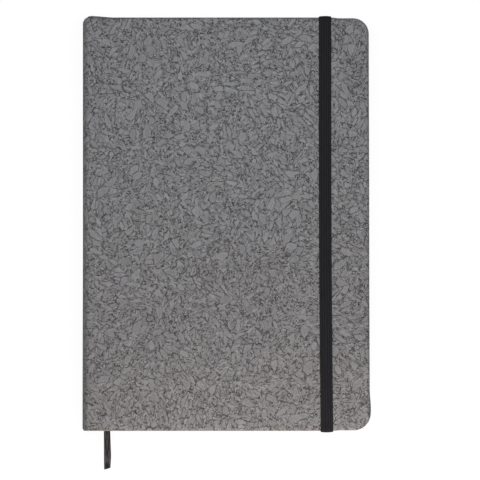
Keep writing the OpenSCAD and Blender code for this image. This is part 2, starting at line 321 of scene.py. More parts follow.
def make_covering():
    material, tree, shader, vector = new_material("pressed chip covering", CHIP_ROUGHNESS)
    chips = place_group(tree, chip_pattern, {"Vector": vector}).outputs
    body = mix_colour(tree, chips["Tone"], CHIP_DARK, CHIP_LIGHT)
    tinted = mix_colour(tree, TINT_SHARE, body, chips["Tint"], "SOFT_LIGHT")
    cracked = mix_colour(tree, chips["Crack"], tinted, CRACK_DARK)
    kept_shade_mask = add(tree, "ShaderNodeAttribute", {"attribute_name": "painted_shade_and_rub"}).outputs["Fac"]
    ragged = fade(tree, noise(tree, vector, SHADE_RAG_SCALE).outputs["Fac"], 0.35, 0.6, LEAST_SHADE, 1.0)
    rub_and_shade_mask = maths(tree, "MULTIPLY", kept_shade_mask, ragged)
    smoother = fade(tree, rub_and_shade_mask, 0.0, 1.0, CHIP_ROUGHNESS, RUBBED_ROUGHNESS)
    tree.links.new(smoother, shader.inputs["Roughness"])
    # painted shade: the shoulder and the head and fore-edge rims are darkened in the colour
    darker = mix_colour(tree, rub_and_shade_mask, cracked, PAINTED_SHADE_TINT, "MULTIPLY")
    colour_and_relief(tree, shader, darker, chips["Height"], **CHIP_RELIEF)
    return material


covering = make_covering()
print("the covering's finish:", len(covering.node_tree.nodes), "nodes")

# %% [markdown]
# ## Paper, board and lining
# The leaves and endpapers are plain off-white paper with a soft mottle of fibres. The same group, with
# other values, gives the grey board its coarser fibres and the lining its fine ones. It is built once
# and placed in each of these materials.

# %% The fibres
def make_fibres():
    tree, start, end = new_group(
        "fibres",
        [("Vector", "Vector"), ("Size", "Float", 0.5), ("Stretch", "Float", 0.25)],
        [("Mottle", "Float"), ("Height", "Float")])
    given = start.outputs
    crosswise = maths(tree, "DIVIDE", 1.0, given["Size"])
    lengthwise = maths(tree, "DIVIDE", given["Stretch"], given["Size"])
    drawn = vector_maths(tree, "MULTIPLY", given["Vector"], as_vector(tree, crosswise, lengthwise, crosswise))
    fine = noise(tree, drawn, 1.0, 3.0, 0.6).outputs["Fac"]
    cloud = noise(tree, given["Vector"], 0.12, 2.0).outputs["Fac"]
    mottle = maths(tree, "ADD", maths(tree, "MULTIPLY", fine, 0.6), maths(tree, "MULTIPLY", cloud, 0.4))
    tree.links.new(fade(tree, mottle, 0.35, 0.65), end.inputs["Mottle"])
    tree.links.new(fine, end.inputs["Height"])
    return tree


fibres = make_fibres()
print("fibres:", len(fibres.nodes), "nodes")

# %% Fibrous finishes
def make_fibrous(name, light, dark, size, stretch, roughness, depth):
    material, tree, shader, vector = new_material(name, roughness)
    made = place_group(tree, fibres, {"Vector": vector, "Size": size, "Stretch": stretch}).outputs
    colour = mix_colour(tree, made["Mottle"], dark, light)
    colour_and_relief(tree, shader, colour, made["Height"], 0.5, depth)
    return material


paper = make_fibrous(
    "page paper", light=(0.80, 0.78, 0.73, 1), dark=(0.74, 0.72, 0.67, 1),
    size=0.6, stretch=0.3, roughness=0.85, depth=0.02)
end_paper = make_fibrous(
    "endpaper", light=(0.78, 0.77, 0.73, 1), dark=(0.71, 0.70, 0.66, 1),
    size=0.8, stretch=0.3, roughness=0.8, depth=0.03)
grey_board = make_fibrous(
    "grey board", light=(0.36, 0.34, 0.31, 1), dark=(0.26, 0.24, 0.22, 1),
    size=0.9, stretch=0.5, roughness=0.9, depth=0.08)
mull = make_fibrous(
    "spine lining", light=(0.70, 0.68, 0.62, 1), dark=(0.58, 0.56, 0.50, 1),
    size=0.4, stretch=0.9, roughness=0.9, depth=0.06)


def dress(material, *node_names):
    """Gives pieces of the construction their finish."""
    for node_name in node_names:
        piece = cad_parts[node_name]
        piece.data.materials.clear()
        piece.data.materials.append(material)


dress(grey_board, "front_board", "back_board", "spine_card")
dress(mull, "spine_lining")
print("fibrous finishes:", [m.name for m in (paper, end_paper, grey_board, mull)])

# %% [markdown]
# ## The covering's form
# The three parts of the covering keep the form of the construction, with its round edges and its
# shoulders. The real one isn't perfectly true: the fore-edge flares near the tail, the edges right of
# the strap sit a little lower, the spine bows out, the corners at the spine are round, and the covering
# rolls softly over the shoulders and the rims. It could be sculpted, but then the three parts would no
# longer meet. So each part is a copy whose mesh is cut into strips and then pushed by one rule for all
# three. The rule leaves the two hinge lines where they are, so that the parts still meet there when a
# cover turns.

# %% Measures of the covering
# From here on a bare length is in millimetres, and MM turns it into metres
spine_x, fore_x, head_y = front_low.x / MM, front_high.x / MM, -front_low.y / MM
spine_low, spine_high = [Vector(corner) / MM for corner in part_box("spine_covering")]
middle_z = book_top / MM / 2
HINGE_GAP, SKIN = 0.05, 0.5
LOWER_HINGE, UPPER_HINGE = spine_low.z - HINGE_GAP, spine_high.z + HINGE_GAP
COVER_CORNER, HEAD_SPINE_CORNER, TAIL_SPINE_CORNER = 8.0, 2.9, 1.0
print("a cover measures", round(fore_x - spine_x, 1), "by", round(2 * head_y, 1), "mm")


def ease(value, low, high):
    share = min(1.0, max(0.0, (value - low) / (high - low)))
    return share * share * (3 - 2 * share)


def edge_distance(x, y):
    """How far a point is inside the outline with its round fore-edge corners."""
    to_fore, to_end = fore_x - x, head_y - abs(y)
    if max(to_fore, to_end) < COVER_CORNER:
        return max(0.0, COVER_CORNER - math.hypot(COVER_CORNER - to_fore, COVER_CORNER - to_end))
    return max(0.0, min(to_fore, to_end))


def round_spine_corner(x, y):
    """Makes the square corners at the spine round: each square about the centre becomes a circle."""
    radius = HEAD_SPINE_CORNER if y > 0 else TAIL_SPINE_CORNER
    out, up = spine_x + radius - x, abs(y) - (head_y - radius)
    if min(out, up) <= 0:
        return x, y
    share = max(out, up) / math.hypot(out, up)
    return spine_x + radius - share * out, math.copysign(head_y - radius + share * up, y)


# %% Painted shade of the covering
# How far the painted shade reaches from the rims and from the spine, in millimetres
RIM_SHADE_REACH, SHOULDER_SHADE_REACH = 1.5, 3.0
# Heights above and below the middle of the book between which an inner face becomes an outer one
SHADED_FACE = (5.4, 6.4)


def rim_shade(point):
    """How much painted shade a point gets, 0 to 1: along the rims but the tail's, which faces the light, and
    more widely along the shoulder.
    """
    rim = 1 - ease(edge_distance(point.x, point.y), 0.2, RIM_SHADE_REACH)
    rim *= ease(head_y + point.y, 1.0, COVER_CORNER)
    shoulder = 1 - ease(point.x - spine_x, 0.1, SHOULDER_SHADE_REACH)
    return max(rim, shoulder) * ease(abs(point.z - middle_z), *SHADED_FACE)


print("wear 1 mm from the spine:", round(rim_shade(Vector((spine_x + 1, 0, 2 * middle_z))), 2))

# %% The rule for the covering's form
# The fore-edge flares near the tail, most where y is -94, and leans. A pair is the stretch over which
# a move comes in.
FLARE, FLARE_BELOW, FLARE_ABOVE = 0.6, (-105, -94), (84, 94)
LEAN, HALF_HEIGHT, LEAN_REACH = 0.25, 105, 20
# Right of the strap the head edge and the tail edge lie lower
HEAD_DROP, TAIL_DROP, DROP_PLACE, DROP_REACH = 0.37, 0.28, (53.5, 57.5), 60
# The spine bows out, more at the tail
BOW, TAIL_BOW, BOW_RISE = 0.15, 0.2, (0.2, 0.7)
# The shoulder and the rims: drop and reach of the tight roll, drop and width of the slope beside it
SHOULDER_ROLL, RIM_ROLL = (0.55, 0.35, 0.5, 3.3), (0.45, 0.35, 0.28, 1.8)
ROLLED_FACE = (5.6, 6.8)
CAP_ROLL, CAP_FLATNESS = 1.2, 0.98


def rolled_edge(distance, drop, reach, slope_drop, slope_width):
    return drop * math.exp(-distance / reach) + slope_drop * max(0.0, 1 - distance / slope_width) ** 2


def covering_drift(point):
    x, y, z = point
    lean = LEAN * ease(-y, 0, HALF_HEIGHT) - LEAN * ease(y, 0, HALF_HEIGHT)
    flare = FLARE * ease(y, *FLARE_BELOW) * ease(-y, *FLARE_ABOVE) + lean
    x_new, y_new = round_spine_corner(x, y)
    x_new += flare * ease(x, LEAN_REACH, fore_x)
    drop = (HEAD_DROP if y > 0 else TAIL_DROP) * ease(x, *DROP_PLACE)
    y_new -= math.copysign(drop, y) * ease(abs(y), DROP_REACH, head_y)
    to_hinge = 1 - abs(2 * (z - LOWER_HINGE) / (UPPER_HINGE - LOWER_HINGE) - 1)
    if to_hinge > 0 and x < spine_x + SKIN + 0.01:
        x_new -= (BOW + TAIL_BOW * ease(-y, 0, HALF_HEIGHT)) * ease(to_hinge, *BOW_RISE)
    shoulder = rolled_edge(max(0.0, x - spine_x), *SHOULDER_ROLL)
    sink = max(shoulder, rolled_edge(edge_distance(x, y), *RIM_ROLL))
    above = z - middle_z
    return Vector((x_new, y_new, z - math.copysign(sink, above) * ease(abs(above), *ROLLED_FACE)))


def spine_drift(point):
    """The same for the spine, whose skin stays on the hinge lines and whose ends roll in like a cap."""
    x, y, z = covering_drift(point)
    inward = 0.0 if point.x < spine_x + SKIN / 2 else 0.3
    if z > UPPER_HINGE - 0.2:
        z = UPPER_HINGE - inward
    if z < LOWER_HINGE + 0.2:
        z = LOWER_HINGE + inward
    to_end = min(1.0, max(0.0, head_y - abs(point.y)) / CAP_ROLL)
    middle_x = (spine_low.x + spine_high.x) / 2
    x = middle_x + (x - middle_x) * math.sqrt(1 - CAP_FLATNESS * (1 - to_end) ** 2)
    return Vector((x, y, z))


for y in (90, -90):
    moved = covering_drift(Vector((spine_x, y, middle_z)))
    print("at y", y, "the spine bows out by", round(spine_x - moved.x, 2), "mm")

# %% Cutting a form into strips
ROLL_STEPS = (0.1, 0.25, 0.5, 0.75, 1.1, 1.45, 1.8)
CORNER_CUTS = 8


def cut_across(form, axis, place, near):
    """Cuts a form all through by a plane square to an axis."""
    point, facing = Vector(), Vector()
    point[axis], facing[axis] = place, 1.0
    everything = form.verts[:] + form.edges[:] + form.faces[:]
    bmesh.ops.bisect_plane(form, geom=everything, dist=near, plane_co=point, plane_no=facing)


def cut_corners(form):
    """Cuts the round corners along lines that follow their arcs."""
    for side in (-1, 1):
        centre = Vector((fore_x - COVER_CORNER, side * (head_y - COVER_CORNER), 0.0))
        parts = set()
        for face in form.faces:
            middle = face.calc_center_median() / MM
            if middle.x > centre.x and side * middle.y > side * centre.y:
                parts.update([face, *face.edges, *face.verts])
        for turn in range(CORNER_CUTS):
            angle = side * math.radians(90 * (turn + 0.5) / CORNER_CUTS)
            facing = Vector((math.cos(angle), math.sin(angle), 0.0))
            for step in ROLL_STEPS:
                place = (centre + facing * (COVER_CORNER - step)) * MM
                cut = bmesh.ops.bisect_plane(
                    form, geom=list(parts), dist=1e-7, plane_co=place, plane_no=facing)
                parts = set(cut["geom"])


print("lines round each corner:", len(ROLL_STEPS))

# %% A worked copy
def mesh_from(form, name):
    """Turns a finished form into a mesh and frees the form."""
    mesh = bpy.data.meshes.new(name)
    form.to_mesh(mesh)
    form.free()
    return mesh


def worked_copy(name, node_name, rule, cuts, round_corners=True):
    """A copy of a piece of the construction, cut into strips and pushed by a rule in millimetres."""
    form = bmesh.new()
    form.from_mesh(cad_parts[node_name].data)
    bmesh.ops.remove_doubles(form, verts=form.verts[:], dist=1e-6)
    for axis, places in enumerate(cuts):
        for place in places:
            cut_across(form, axis, place * MM, 1e-7)
    if round_corners:
        cut_corners(form)
    # each point keeps its share of painted shade for the covering's material
    painted_shade_and_rub = form.verts.layers.float.new("painted_shade_and_rub")
    for vertex in form.verts:
        vertex[painted_shade_and_rub] = rim_shade(vertex.co / MM)
        vertex.co = rule(vertex.co / MM) * MM
    bmesh.ops.triangulate(form, faces=form.faces[:])
    return mesh_from(form, name)


CUTS_X = [spine_x + step for step in ROLL_STEPS + (2.2, 2.9, 3.3)]
CUTS_X += [fore_x - step for step in ROLL_STEPS + (COVER_CORNER,)]
CUTS_X += [20, 30, 40, 48, 53.5, 54.5, 55.5, 56.5, 57.5, 64]
CUTS_Y = [side * (head_y - step) for side in (-1, 1) for step in ROLL_STEPS + (2.3, 2.9, COVER_CORNER)]
CUTS_Y += [-101, -97, -94, -92, -90, -87, -84, -75, -60, -40, -20, 0, 20, 40, 60, 75, 90]
SPINE_SHARES = (0.08, 0.16, 0.24, 0.32, 0.5, 0.68, 0.76, 0.84, 0.92)
SPINE_CUTS_Z = [LOWER_HINGE + share * (UPPER_HINGE - LOWER_HINGE) for share in SPINE_SHARES]
print("cuts across and along a cover:", len(CUTS_X), len(CUTS_Y))

# %% The three parts of the covering
def put_in_scene(name, data):
    """Makes an object of a mesh, a lamp or a camera."""
    thing = bpy.data.objects.new(name, data)
    scene.collection.objects.link(thing)
    return thing


def new_piece(name, mesh, material, body, slot, *nodes, sharp=35.0):
    """Makes a mesh a finished piece that rides on a body and stands for its solids."""
    mesh.materials.clear()
    mesh.materials.append(material)
    mesh.shade_smooth()
    mesh.set_sharp_from_angle(angle=math.radians(sharp))
    piece = put_in_scene(name, mesh)
    if nodes:
        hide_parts(*nodes)
    if body:
        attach(piece, body)
    print(name, "has", sum(len(face.vertices) - 2 for face in mesh.polygons), "triangles")
    return piece


for side in ("front", "back"):
    cover_form = worked_copy(side + " cover covering", side + "_covering", covering_drift, (CUTS_X, CUTS_Y))
    new_piece(side + "-cover-covering", cover_form, covering, side + "_cover", "covering", side + "_covering")
spine_form = worked_copy("spine covering", "spine_covering", spine_drift, ([], CUTS_Y, SPINE_CUTS_Z), False)
new_piece("spine-covering", spine_form, covering, "book_block", "covering", "spine_covering")

# %% [markdown]
# ## The leaves
# A book's block is its leaves, so it is made of them: 96 sheets, 0.1 mm thick. One leaf is drawn in
# mesh code, and a Geometry Nodes tree stacks it. Each leaf is a hair out of line with the next, and
# each gathering of eight is out of line with its neighbours, which gives the fore-edge its fine lines.
# The tree also opens a narrow gap in the middle, where the ribbon lies between two leaves.

# %% One leaf
pages_low, pages_high = [Vector(corner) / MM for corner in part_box("text_block")]
LEAF_COUNT = 96
LEAF_CORNER = 7.0
LEAF_PITCH = (pages_high.z - pages_low.z) / LEAF_COUNT
# A leaf is a little thinner than its share of the block, which leaves a fine line between two
LEAF_SHARE = 0.9
RIBBON_TAIL_X, RIBBON_LEAN = spine_x + 12.2, math.radians(1.7)
# The outline has more points near the ribbon, where the leaves bend apart
BESIDE_RIBBON = (-12, -5, -1.9, 1.9, 5, 12)


def ribbon_x(y):
    """Where the middle of the ribbon is at this height of the book."""
    return RIBBON_TAIL_X - (y + head_y) * math.tan(RIBBON_LEAN)


def arc(centre, radius, start, end, steps):
    """Points on an arc, angles in degrees."""
    turns = [math.radians(start + (end - start) * step / steps) for step in range(steps + 1)]
    return [(centre[0] + radius * math.cos(turn), centre[1] + radius * math.sin(turn)) for turn in turns]


def leaf_outline():
    left, right, low, high = pages_low.x, pages_high.x, pages_low.y, pages_high.y
    tail, head = [[(ribbon_x(y) + step, y) for step in BESIDE_RIBBON if ribbon_x(y) + step > left + 0.2]
                  for y in (low, high)]
    corners = arc((right - LEAF_CORNER, low + LEAF_CORNER), LEAF_CORNER, 270, 360, 8)
    corners += arc((right - LEAF_CORNER, high - LEAF_CORNER), LEAF_CORNER, 0, 90, 8)
    return [(left, low)] + tail + corners + head[::-1] + [(left, high)]


def prism(name, outline, low, high):
    """A closed block over an outline, from one height to another."""
    count = len(outline)
    points = [(x * MM, y * MM, z * MM) for z in (low, high) for x, y in outline]
    faces = [tuple(reversed(range(count))), tuple(range(count, 2 * count))]
    faces += [(i, (i + 1) % count, (i + 1) % count + count, i + count) for i in range(count)]
    mesh = bpy.data.meshes.new(name)
    mesh.from_pydata(points, [], faces)
    return mesh


leaf = put_in_scene("leaf", prism("leaf", leaf_outline(), 0.0, LEAF_SHARE * LEAF_PITCH))
print("one leaf has", len(leaf.data.vertices), "points")

# %% Helpers for Geometry Nodes
def node_tree(name, sockets):
    """An empty Geometry Nodes tree with a Geometry input and output and named inputs."""
    tree = bpy.data.node_groups.new(name, "GeometryNodeTree")
    tree.interface.new_socket("Geometry", in_out="INPUT", socket_type="NodeSocketGeometry")
    identifiers = {}
    for label, kind in sockets:
        made = tree.interface.new_socket(label, in_out="INPUT", socket_type="NodeSocket" + kind)
        identifiers[label] = made.identifier
    tree.interface.new_socket("Geometry", in_out="OUTPUT", socket_type="NodeSocketGeometry")
    return tree, tree.nodes.new("NodeGroupInput"), tree.nodes.new("NodeGroupOutput"), identifiers


def grown(piece, tree, identifiers, values):
    """Runs a tree on an object with these inputs and gives back the result as a plain mesh."""
    modifier = piece.modifiers.new(tree.name, "NODES")
    modifier.node_group = tree
    for label, value in values.items():
        modifier[identifiers[label]] = value
    graph = bpy.context.evaluated_depsgraph_get()
    mesh = bpy.data.meshes.new_from_object(piece.evaluated_get(graph))
    bpy.data.objects.remove(piece)
    return mesh


print("helpers for trees:", ", ".join(helper.__name__ for helper in (node_tree, grown)))

# %% The stack of leaves
LEAVES_IN_GATHERING = 8.0
# The leaves bend apart beside the ribbon, from where the gap is full to where it has closed
GAP_REACH = (2.0 * MM, 13.0 * MM)


def make_leaf_stack():
    tree, start, end, identifiers = node_tree("leaf stack", [
        ("Leaf count", "Int"), ("Pitch", "Float"), ("Lowest", "Float"), ("Leaf drift", "Float"),
        ("Gathering drift", "Float"), ("Gap", "Float"), ("Ribbon place", "Float"), ("Ribbon slope", "Float"),
        ("Spine side", "Float"), ("Paper", "Material")])
    given = start.outputs
    line = add(tree, "GeometryNodeMeshLine", {}, {
        "Count": given["Leaf count"], "Start Location": as_vector(tree, z=given["Lowest"]),
        "Offset": as_vector(tree, z=given["Pitch"])})
    number = add(tree, "GeometryNodeInputIndex").outputs[0]
    gathering = maths(tree, "FLOOR", maths(tree, "DIVIDE", number, LEAVES_IN_GATHERING))

    def jog(amount, identity, seed):
        low = maths(tree, "MULTIPLY", amount, -1.0)
        return add(tree, "FunctionNodeRandomValue", {"data_type": "FLOAT_VECTOR"}, {
            0: as_vector(tree, low, low), 1: as_vector(tree, amount, amount),
            "ID": identity, "Seed": seed}).outputs[0]

    leaf_jog, gathering_jog = jog(given["Leaf drift"], number, 5), jog(given["Gathering drift"], gathering, 9)
    placed = add(tree, "GeometryNodeSetPosition", {}, {
        "Geometry": line.outputs[0], "Offset": vector_maths(tree, "ADD", leaf_jog, gathering_jog)})
    stacked = add(tree, "GeometryNodeInstanceOnPoints", {}, {
        "Points": placed.outputs[0], "Instance": given["Geometry"]})
    real = add(tree, "GeometryNodeRealizeInstances", {}, {"Geometry": stacked.outputs[0]})

    position = add(tree, "GeometryNodeInputPosition").outputs[0]
    place = add(tree, "ShaderNodeSeparateXYZ", {}, {0: position}).outputs
    slant = maths(tree, "MULTIPLY", place["Y"], given["Ribbon slope"])
    line_x = maths(tree, "ADD", given["Ribbon place"], slant)
    beside = maths(tree, "ABSOLUTE", maths(tree, "SUBTRACT", place["X"], line_x))
    gap = maths(tree, "MULTIPLY", given["Gap"], fade(tree, beside, *GAP_REACH, 1.0, 0.0))
    thickness = maths(tree, "MULTIPLY", given["Leaf count"], given["Pitch"])
    height = maths(tree, "SUBTRACT", place["Z"], given["Lowest"])
    upper = maths(tree, "GREATER_THAN", height, maths(tree, "MULTIPLY", thickness, 0.4999))
    share = maths(tree, "SUBTRACT", 1.0, maths(tree, "DIVIDE", gap, thickness))
    moved = maths(tree, "ADD", maths(tree, "MULTIPLY", height, share), maths(tree, "MULTIPLY", upper, gap))
    raised = maths(tree, "ADD", given["Lowest"], moved)
    trimmed = maths(tree, "MAXIMUM", place["X"], given["Spine side"])
    opened = add(tree, "GeometryNodeSetPosition", {}, {
        "Geometry": real.outputs[0], "Position": as_vector(tree, trimmed, place["Y"], raised)})
    painted = add(tree, "GeometryNodeSetMaterial", {}, {
        "Geometry": opened.outputs[0], "Material": given["Paper"]})
    tree.links.new(painted.outputs[0], end.inputs["Geometry"])
    return tree, identifiers


leaf_stack, leaf_inputs = make_leaf_stack()
leaves_mesh = grown(leaf, leaf_stack, leaf_inputs, {
    "Leaf count": LEAF_COUNT, "Pitch": LEAF_PITCH * MM, "Lowest": pages_low.z * MM,
    "Leaf drift": 0.07 * MM, "Gathering drift": 0.1 * MM, "Gap": 0.3 * MM,
    "Ribbon place": ribbon_x(0.0) * MM, "Ribbon slope": -math.tan(RIBBON_LEAN),
    "Spine side": pages_low.x * MM, "Paper": paper})
new_piece("leaves", leaves_mesh, paper, "book_block", "pages", "text_block", sharp=20.0)

# %% [markdown]
# ## The endpapers
# An endpaper is one sheet, folded once. One half is pasted to the cover's inner face and sinks where the
# turn-ins end, and the other half is the first leaf. It is drawn flat, as it lies before it is folded,
# and cut into strips. A rule then folds it and gives the pasted half its sunk middle.

# %% The open sheet
fly_low, fly_high = [Vector(corner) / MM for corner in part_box("back_flyleaf")]
paste_high = Vector(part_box("back_pastedown")[1]) / MM
FOLD_X = spine_x + 0.65
SUNK, TURN_IN = 0.5, 15.0
SHEET, PASTE_CORNER, FOLD_TAPER = 0.14, 5.0, 3


def flat_endpaper():
    """Outline of the open sheet: the fold is at x = 0, the leaf to its right, the pasted half to its left."""
    leaf_w, leaf_h = fly_high.x - FOLD_X, fly_high.y
    paste_w, paste_h = paste_high.x - FOLD_X, paste_high.y
    leaf_x, leaf_y = leaf_w - LEAF_CORNER, leaf_h - LEAF_CORNER
    paste_x, paste_y = PASTE_CORNER - paste_w, paste_h - PASTE_CORNER
    outline = [(0, -paste_h), (FOLD_TAPER, -leaf_h)]
    outline += arc((leaf_x, -leaf_y), LEAF_CORNER, 270, 360, 8)
    outline += arc((leaf_x, leaf_y), LEAF_CORNER, 0, 90, 8)
    outline += [(FOLD_TAPER, leaf_h), (0, paste_h)]
    outline += arc((paste_x, paste_y), PASTE_CORNER, 90, 180, 6)
    outline += arc((paste_x, -paste_y), PASTE_CORNER, 180, 270, 6)
    return outline


print("the open endpaper has", len(flat_endpaper()), "points")

# %% Endpapers
def fold_endpaper(x, y, front):
    """Puts a point of the open sheet in its place in the closed book."""
    face_z = fly_low.z if x > 0.01 else paste_high.z
    across = FOLD_X + abs(x)
    if x < 0.01:
        to_fore, to_end = fore_x - TURN_IN - across, head_y - TURN_IN - abs(y)
        face_z -= SUNK * ease(min(to_fore, to_end), -0.4, 0.9) * ease(across - FOLD_X, 0.1, 1.2)
    if front:
        face_z = book_top / MM - face_z
    return Vector((across, y, face_z)) * MM


def make_endpaper(name, front):
    form = bmesh.new()
    form.faces.new([form.verts.new((x, y, 0.0)) for x, y in flat_endpaper()])
    fore_step = -(fore_x - TURN_IN - FOLD_X)
    cuts = [(0, x) for x in (0.02, -0.12, -0.4, -0.8, -1.2)]
    cuts += [(0, fore_step + step) for step in (-0.4, 0.0, 0.4, 0.9)]
    cuts += [(1, side * (head_y - TURN_IN - step)) for side in (-1, 1) for step in (-0.4, 0.0, 0.4, 0.9)]
    for axis, place in cuts:
        cut_across(form, axis, place, 1e-4)
    for vertex in form.verts:
        vertex.co = fold_endpaper(vertex.co.x, vertex.co.y, front)
    bmesh.ops.triangulate(form, faces=form.faces[:])
    if not front:
        bmesh.ops.reverse_faces(form, faces=form.faces[:])
    sheet = put_in_scene(name, mesh_from(form, name))
    wall = sheet.modifiers.new("thickness", "SOLIDIFY")
    wall.thickness, wall.offset = SHEET * MM, -1.0
    graph = bpy.context.evaluated_depsgraph_get()
    solid = bpy.data.meshes.new_from_object(sheet.evaluated_get(graph))
    bpy.data.objects.remove(sheet)
    return solid


for name, front, cover, nodes in (
        ("front-endpaper", True, "front_cover", ("front_flyleaf", "front_pastedown")),
        ("back-endpaper", False, "back_cover", ("back_flyleaf", "back_pastedown"))):
    piece = new_piece(name, make_endpaper(name, front), end_paper, None, "endpaper", *nodes)
    fold_z, to_cover = (fly_low.z + paste_high.z) / 2, -0.002
    if front:
        fold_z, to_cover = book_top / MM - fold_z, -to_cover
    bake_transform(piece)

# %% [markdown]
# ## Woven and sewn goods
# The elastic, the ribbon and the bands are woven. Their threads are a shader group that reads how far
# a point is across and along the piece, in millimetres. The group makes a ladder of threads: lengthwise
# ribs, with weft threads over and under them.

# %% The weave
RIB_SHARE, WEFT_SHARE = 0.3, 0.2


def make_weave():
    tree, start, end = new_group(
        "weave",
        [("Across", "Float"), ("Along", "Float"), ("Rib pitch", "Float", 1.0), ("Weft pitch", "Float", 0.5)],
        [("Threads", "Float")])
    given = start.outputs
    rib = maths(tree, "MULTIPLY", maths(tree, "DIVIDE", given["Across"], given["Rib pitch"]), 2 * math.pi)
    weft = maths(tree, "MULTIPLY", maths(tree, "DIVIDE", given["Along"], given["Weft pitch"]), 2 * math.pi)
    rib_wave = maths(tree, "COSINE", rib)
    over_or_under = maths(tree, "SIGN", maths(tree, "COSINE", maths(tree, "MULTIPLY", rib, 0.5)))
    half_step = maths(tree, "MULTIPLY", over_or_under, math.pi / 2)
    weft_wave = maths(tree, "COSINE", maths(tree, "ADD", weft, half_step))
    ribs, wefts = maths(tree, "MULTIPLY", rib_wave, RIB_SHARE), maths(tree, "MULTIPLY", weft_wave, WEFT_SHARE)
    tree.links.new(maths(tree, "ADD", maths(tree, "ADD", ribs, wefts), 0.5), end.inputs["Threads"])
    return tree


weave = make_weave()
print("weave:", len(weave.nodes), "nodes")

# %% Woven finishes
# Streaks are stretched along the piece: partly tone, partly painted sheen, strongest on the satin. Painted
# shade darkens an end over the length and by the tone set next, for the shade where the ribbon's tip twists
# down to the table.
STREAK_STRETCH, TIP_SHADE_LENGTH, TIP_SHADE_TONE = (1.5, 0.15, 1.0), 2.0, -0.6
NO_TIP_SHADE = 300.0


def make_woven(name, light, dark, pitches, roughness, depth, streaks_and_sheen, tip_shade_from, specular):
    """A woven finish that follows a piece's own attribute: across, along, height."""
    material, tree, shader, _ = new_material(name, roughness, Specular_IOR_Level=specular)
    follow = add(tree, "ShaderNodeAttribute", {"attribute_name": "lay"}).outputs["Vector"]
    lay = add(tree, "ShaderNodeSeparateXYZ", {}, {0: follow}).outputs
    made = place_group(tree, weave, {
        "Across": lay["X"], "Along": lay["Y"], "Rib pitch": pitches[0], "Weft pitch": pitches[1]}).outputs
    drawn = vector_maths(tree, "MULTIPLY", follow, STREAK_STRETCH)
    # lengthwise streaks: partly tone, partly painted sheen
    streak_and_sheen = fade(tree, noise(tree, drawn, 1.0, 2.0).outputs["Fac"], 0.3, 0.7, -streaks_and_sheen, streaks_and_sheen)
    # painted shade at the end of the piece
    tip_shade = fade(tree, lay["Y"], tip_shade_from, tip_shade_from + TIP_SHADE_LENGTH, 0.0, TIP_SHADE_TONE)
    tone = maths(tree, "ADD", maths(tree, "ADD", made["Threads"], streak_and_sheen), tip_shade)
    colour_and_relief(tree, shader, mix_colour(tree, tone, dark, light), made["Threads"], 0.6, depth)
    return material


elastic = make_woven(
    "woven elastic", light=(0.020, 0.020, 0.023, 1), dark=(0.007, 0.007, 0.008, 1), pitches=(1.26, 0.5),
    roughness=0.8, depth=0.12, streaks_and_sheen=0.15, tip_shade_from=NO_TIP_SHADE, specular=0.15)
# The satin's strong streaks are painted sheen, and its tip gets painted shade where it twists down to the
# table
satin = make_woven(
    "satin ribbon", light=(0.075, 0.068, 0.074, 1), dark=(0.010, 0.009, 0.010, 1), pitches=(0.42, 0.3),
    roughness=0.65, depth=0.03, streaks_and_sheen=0.9, tip_shade_from=19.5, specular=0.08)
thread = make_fibrous(
    "band thread", light=(0.16, 0.155, 0.155, 1), dark=(0.09, 0.088, 0.088, 1),
    size=0.15, stretch=0.5, roughness=0.7, depth=0.03)
dress(thread, "head_band", "tail_band")
print("woven finishes:", [m.name for m in (elastic, satin, thread)])

# %% [markdown]
# ## The elastic
# The strap is one flat woven band. It comes out from under the back endpaper, rolls over the head edge,
# lies over the front cover and goes back under at the tail. A closed section is carried along the
# route in mesh code, because the band cups a little where it rolls over an edge, which a plain sweep
# can't do. Each point keeps its place across and along the band for the weave.
# When the front cover opens, the real band is slipped off and lies against the back.

# %% A section carried along a route
def carried(name, sections, profile_size, lay_values):
    """Joins equal rings of points into a closed skin. The rings are in millimetres."""
    points = [point for ring in sections for point in ring]
    faces = []
    for ring in range(len(sections) - 1):
        for i in range(profile_size):
            j = (i + 1) % profile_size
            faces.append((ring * profile_size + i, ring * profile_size + j,
                          (ring + 1) * profile_size + j, (ring + 1) * profile_size + i))
    last = (len(sections) - 1) * profile_size
    faces.append(tuple(reversed(range(profile_size))))
    faces.append(tuple(range(last, last + profile_size)))
    mesh = bpy.data.meshes.new(name)
    mesh.from_pydata([Vector(point) * MM for point in points], [], faces)
    lay = mesh.attributes.new("lay", "FLOAT_VECTOR", "POINT")
    lay.data.foreach_set("vector", [value for triple in lay_values for value in triple])
    form = bmesh.new()
    form.from_mesh(mesh)
    bmesh.ops.recalc_face_normals(form, faces=form.faces[:])
    form.to_mesh(mesh)
    form.free()
    return mesh


# The thickness of a band's edge as a share of its middle's, and how suddenly it falls off
EDGE_SHARE, SQUARENESS = 0.35, 12


def flat_section(width, thickness, ribs, depth, steps):
    """Round-edged section of a flat band: pairs of across and height, with ribs on both faces."""
    top = []
    for step in range(steps + 1):
        share = step / steps
        across = width * (share - 0.5)
        rib = math.sqrt(abs(math.sin(math.pi * ribs * share))) if ribs else 1.0
        rounding = math.sqrt(max(0.0, 1 - (2 * abs(share - 0.5)) ** SQUARENESS))
        fullness = EDGE_SHARE + (1 - EDGE_SHARE) * rounding
        top.append((across, (thickness / 2 - depth * (1 - rib)) * fullness))
    return top + [(across, -height) for across, height in reversed(top)]


print("a plain band's section has", len(flat_section(1.0, 0.1, 0, 0.0, 10)), "points")

